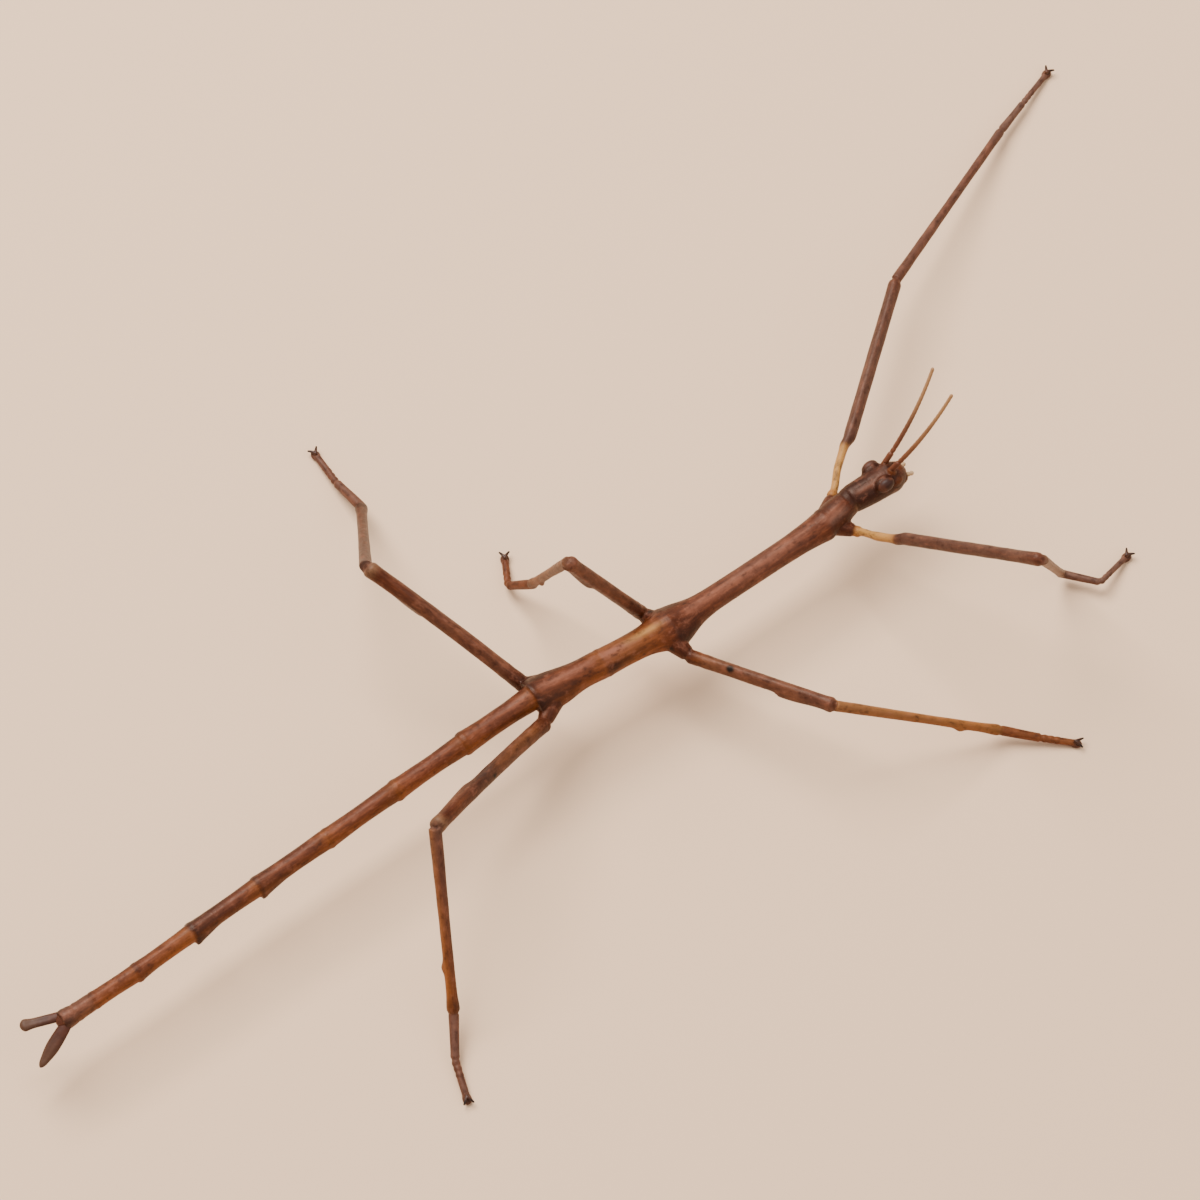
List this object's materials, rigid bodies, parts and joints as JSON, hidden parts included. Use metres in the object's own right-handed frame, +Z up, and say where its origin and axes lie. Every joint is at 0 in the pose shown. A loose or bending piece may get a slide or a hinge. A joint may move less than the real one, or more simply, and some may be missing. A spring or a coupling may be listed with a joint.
{
  "type": "stick insect",
  "caption": "Wingless brown stick insect with a long twig-like body, jointed legs spread out, short feelers and leaf-shaped tail feelers, standing on its feet.",
  "frame": {"origin": "on the floor, under the middle of the bounding box", "axes": "+X towards the head, +Y towards the insect's left, +Z up"},
  "size_m": [0.1772, 0.086, 0.0272],
  "materials": {
    "head_shell": "dark brown horny shell, half gloss",
    "eye": "dark olive brown, smooth and glossy",
    "antenna": "pale brown, finely ringed",
    "palp": "pale and slightly see-through brown",
    "thorax_skin": "reddish brown horny skin, half gloss on top",
    "abdomen_skin": "brown horny skin with darker sides and flaps",
    "cercus": "greyish brown, matt",
    "leg_skin": "brown horny skin, paler at the joints",
    "foot_skin": "greyish brown with pinkish joints",
    "claw": "dark brown horn"
  },
  "bodies": {
    "root": {"head": "head_shell", "eye_left": "eye", "antenna_left": "antenna", "palp_left": "palp", "eye_right": "eye", "antenna_right": "antenna", "palp_right": "palp", "neck": "thorax_skin", "prothorax": "thorax_skin", "mesothorax": "thorax_skin", "metathorax": "thorax_skin", "abdomen_1": "abdomen_skin", "abdomen_2": "abdomen_skin", "abdomen_3": "abdomen_skin", "abdomen_4": "abdomen_skin", "abdomen_5": "abdomen_skin", "abdomen_6": "abdomen_skin", "abdomen_7": "abdomen_skin", "abdomen_8": "abdomen_skin", "abdomen_9": "abdomen_skin", "abdomen_10": "abdomen_skin", "cercus_left": "cercus", "cercus_right": "cercus", "coxa_front_left": "leg_skin", "femur_front_left": "leg_skin", "tibia_front_left": "leg_skin", "tarsus_front_left": "foot_skin", "claws_front_left": "claw", "coxa_front_right": "leg_skin", "femur_front_right": "leg_skin", "tibia_front_right": "leg_skin", "tarsus_front_right": "foot_skin", "claws_front_right": "claw", "coxa_middle_left": "leg_skin", "femur_middle_left": "leg_skin", "tibia_middle_left": "leg_skin", "tarsus_middle_left": "foot_skin", "claws_middle_left": "claw", "coxa_middle_right": "leg_skin", "femur_middle_right": "leg_skin", "tibia_middle_right": "leg_skin", "tarsus_middle_right": "foot_skin", "claws_middle_right": "claw", "coxa_hind_left": "leg_skin", "femur_hind_left": "leg_skin", "tibia_hind_left": "leg_skin", "tarsus_hind_left": "foot_skin", "claws_hind_left": "claw", "coxa_hind_right": "leg_skin", "femur_hind_right": "leg_skin", "tibia_hind_right": "leg_skin", "tarsus_hind_right": "foot_skin", "claws_hind_right": "claw"}
  },
  "joints": []
}
